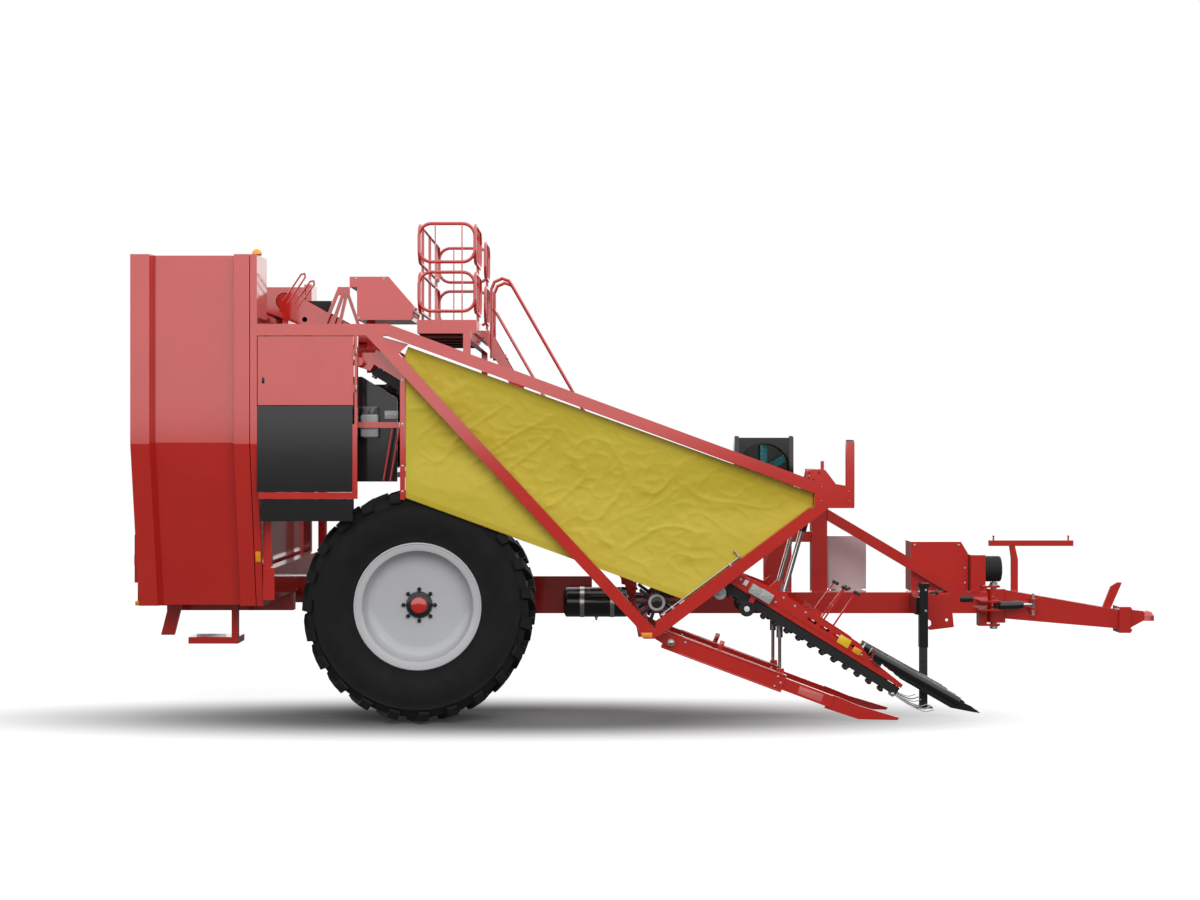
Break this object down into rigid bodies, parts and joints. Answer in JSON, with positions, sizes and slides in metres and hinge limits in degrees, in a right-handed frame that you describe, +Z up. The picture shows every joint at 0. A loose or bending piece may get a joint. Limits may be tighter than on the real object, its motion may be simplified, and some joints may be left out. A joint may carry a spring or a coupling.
{
  "type": "trailed top-lifting root crop harvester",
  "caption": "Trailed offset root crop harvester: belt lifting rows, share arms, side frame with canvas, catwalk, elevator and a crosswise tipping bunker.",
  "frame": {"origin": "middle of the overall length and width, on the ground", "axes": "+X forward, towards the coupling; +Y to the machine's left; +Z up"},
  "size_m": [9.432, 3.321, 4.4],
  "materials": {
    "air_tank": "satin",
    "axle_beam": "gloss",
    "beacon": "gloss",
    "bunker": "gloss",
    "cabinet": "satin",
    "canvas": "coated cloth",
    "cleaner": "satin",
    "cooler": "satin",
    "cooler_fan": "satin",
    "coupling": "gloss",
    "dividers": "satin",
    "door_post": "gloss",
    "drawbar": "gloss",
    "elevator_belt": "matte",
    "elevator_frame": "gloss",
    "front_columns": "gloss",
    "front_stay": "gloss",
    "gearbox": "painted",
    "gearbox_hood": "gloss",
    "headboard": "gloss",
    "hose_support": "gloss",
    "jack_leg": "worn",
    "jack_tube": "satin",
    "ladder": "gloss",
    "lamp_board": "gloss",
    "lift_barrels": "satin",
    "lift_belts": "matte",
    "lift_frame": "gloss",
    "lift_pulleys": "worn",
    "lift_rods": "polished",
    "lift_shaft": "gloss",
    "main_beam": "gloss",
    "platform": "gloss",
    "platform_frame": "gloss",
    "platform_rails": "gloss",
    "pto_guard": "matte",
    "rear_frame": "gloss",
    "rear_posts": "gloss",
    "rim_left": "satin",
    "rim_right": "satin",
    "rotor_front": "matte",
    "rotor_hangers": "gloss",
    "rotor_rear": "matte",
    "share_arms": "gloss",
    "share_barrels": "satin",
    "share_rods": "polished",
    "side_diagonal": "gloss",
    "side_door": "gloss",
    "side_gusset": "gloss",
    "side_node": "gloss",
    "side_panel": "satin",
    "side_rail": "gloss",
    "side_strut": "gloss",
    "steer_barrel": "satin",
    "steer_rod": "polished",
    "tip_barrels": "satin",
    "tip_rods": "polished",
    "topper_hood": "gloss",
    "tyre_left": "matte",
    "tyre_right": "matte"
  },
  "bodies": {
    "chassis": {"air_tank": "air_tank", "axle_beam": "axle_beam", "beacon": "beacon", "cabinet": "cabinet", "canvas": "canvas", "cleaner": "cleaner", "cooler": "cooler", "door_post": "door_post", "elevator_belt": "elevator_belt", "elevator_frame": "elevator_frame", "front_columns": "front_columns", "front_stay": "front_stay", "gearbox": "gearbox", "gearbox_hood": "gearbox_hood", "headboard": "headboard", "jack_tube": "jack_tube", "ladder": "ladder", "lamp_board": "lamp_board", "lift_shaft": "lift_shaft", "main_beam": "main_beam", "platform": "platform", "platform_frame": "platform_frame", "platform_rails": "platform_rails", "pto_guard": "pto_guard", "rear_frame": "rear_frame", "rear_posts": "rear_posts", "side_diagonal": "side_diagonal", "side_gusset": "side_gusset", "side_node": "side_node", "side_panel": "side_panel", "side_rail": "side_rail", "side_strut": "side_strut", "topper_hood": "topper_hood"},
    "wheel_right": {"tyre_right": "tyre_right", "rim_right": "rim_right"},
    "wheel_left": {"tyre_left": "tyre_left", "rim_left": "rim_left"},
    "drawbar": {"drawbar": "drawbar", "coupling": "coupling", "hose_support": "hose_support"},
    "steer_barrel": {"steer_barrel": "steer_barrel"},
    "steer_rod": {"steer_rod": "steer_rod"},
    "jack_leg": {"jack_leg": "jack_leg"},
    "lift_unit": {"lift_frame": "lift_frame", "lift_belts": "lift_belts", "lift_pulleys": "lift_pulleys", "dividers": "dividers", "rotor_hangers": "rotor_hangers"},
    "rotor_front": {"rotor_front": "rotor_front"},
    "rotor_rear": {"rotor_rear": "rotor_rear"},
    "lift_barrels": {"lift_barrels": "lift_barrels"},
    "lift_rods": {"lift_rods": "lift_rods"},
    "share_arms": {"share_arms": "share_arms"},
    "share_barrels": {"share_barrels": "share_barrels"},
    "share_rods": {"share_rods": "share_rods"},
    "side_door": {"side_door": "side_door"},
    "bunker": {"bunker": "bunker"},
    "tip_barrel": {"tip_barrels": "tip_barrels"},
    "tip_rod": {"tip_rods": "tip_rods"},
    "cooler_fan": {"cooler_fan": "cooler_fan"}
  },
  "joints": [
    {"name": "wheel_right_turn", "type": "hinge", "parent": "chassis", "child": "wheel_right", "pos_m": [-2.137, -1.175, 1.02], "axis": [0, 1, 0], "continuous": true},
    {"name": "wheel_left_turn", "type": "hinge", "parent": "chassis", "child": "wheel_left", "pos_m": [-2.137, 1.35, 0.8], "axis": [0, 1, 0], "continuous": true},
    {"name": "drawbar_turn", "type": "hinge", "parent": "chassis", "child": "drawbar", "pos_m": [3.191, 0, 0.783], "axis": [0, 0, 1], "range_deg": [-20, 20]},
    {"name": "steer_barrel_turn", "type": "hinge", "parent": "chassis", "child": "steer_barrel", "pos_m": [3.162, -0.25, 0.916], "axis": [0, 0, 1], "range_deg": [-15.21, 15.21]},
    {"name": "steer_rod_slide", "type": "slide", "parent": "steer_barrel", "child": "steer_rod", "axis": [0.9517, 0.307, 0], "range_m": [-0.09, 0.09]},
    {"name": "jack_slide", "type": "slide", "parent": "chassis", "child": "jack_leg", "axis": [0, 0, 1], "range_m": [0, 0.45]},
    {"name": "lift_raise", "type": "hinge", "parent": "chassis", "child": "lift_unit", "pos_m": [-2.633, -1.08, 3.14], "axis": [0, -1, 0], "range_deg": [0, 5]},
    {"name": "rotor_front_turn", "type": "hinge", "parent": "lift_unit", "child": "rotor_front", "pos_m": [-0.05982, -1.08, 1.05296], "axis": [0, 1, 0], "continuous": true},
    {"name": "rotor_rear_turn", "type": "hinge", "parent": "lift_unit", "child": "rotor_rear", "pos_m": [-0.79971, -1.08, 1.63671], "axis": [0, 1, 0], "continuous": true},
    {"name": "lift_barrel_turn", "type": "hinge", "parent": "chassis", "child": "lift_barrels", "pos_m": [1.346, -1.08, 2.17], "axis": [0, -1, 0], "range_deg": [0, 5.22]},
    {"name": "lift_rod_slide", "type": "slide", "parent": "lift_barrels", "child": "lift_rods", "axis": [-0.2732, 0, -0.962], "range_m": [-0.35828, 0]},
    {"name": "share_raise", "type": "hinge", "parent": "chassis", "child": "share_arms", "pos_m": [0.062, -1.08, 0.708], "axis": [0, -1, 0], "range_deg": [0, 12.01]},
    {"name": "share_barrel_turn", "type": "hinge", "parent": "lift_unit", "child": "share_barrels", "pos_m": [1.026, -1.08, 1.2], "axis": [0, 1, 0], "range_deg": [0, 12.63]},
    {"name": "share_rod_slide", "type": "slide", "parent": "share_barrels", "child": "share_rods", "axis": [0, 0, -1], "range_m": [0, 0.12863]},
    {"name": "door_swing", "type": "hinge", "parent": "chassis", "child": "side_door", "pos_m": [-2.663, -1.662, 3.06], "axis": [0, 0, 1], "range_deg": [0, 95]},
    {"name": "bunker_tip", "type": "hinge", "parent": "chassis", "child": "bunker", "pos_m": [-4.07, 1.596, 3], "axis": [-1, 0, 0], "range_deg": [0, 95]},
    {"name": "tip_barrel_turn", "type": "hinge", "parent": "chassis", "child": "tip_barrel", "pos_m": [-4.65, 1.38, 1.1], "axis": [1, 0, 0], "range_deg": [0, 13.3]},
    {"name": "tip_rod_slide", "type": "slide", "parent": "tip_barrel", "child": "tip_rod", "axis": [0, 0.0715, 0.9974], "range_m": [0, 0.7523]},
    {"name": "fan_turn", "type": "hinge", "parent": "chassis", "child": "cooler_fan", "pos_m": [1.002, 0, 2.181], "axis": [0, 1, 0], "continuous": true}
  ],
  "couplings": [
    {"joint": "steer_barrel_turn", "follows": "drawbar_turn", "ratio": 0.74525},
    {"joint": "steer_rod_slide", "follows": "drawbar_turn", "m_per_rad": 0.22706},
    {"joint": "lift_barrel_turn", "follows": "lift_raise", "ratio": 1.0338},
    {"joint": "lift_rod_slide", "follows": "lift_raise", "m_per_rad": -4.0941},
    {"joint": "share_raise", "follows": "lift_raise", "ratio": 2.4},
    {"joint": "share_barrel_turn", "follows": "lift_raise", "ratio": 2.5162},
    {"joint": "share_rod_slide", "follows": "lift_raise", "m_per_rad": 1.4625},
    {"joint": "tip_barrel_turn", "follows": "bunker_tip", "ratio": 0.13896},
    {"joint": "tip_rod_slide", "follows": "bunker_tip", "m_per_rad": 0.45312}
  ]
}
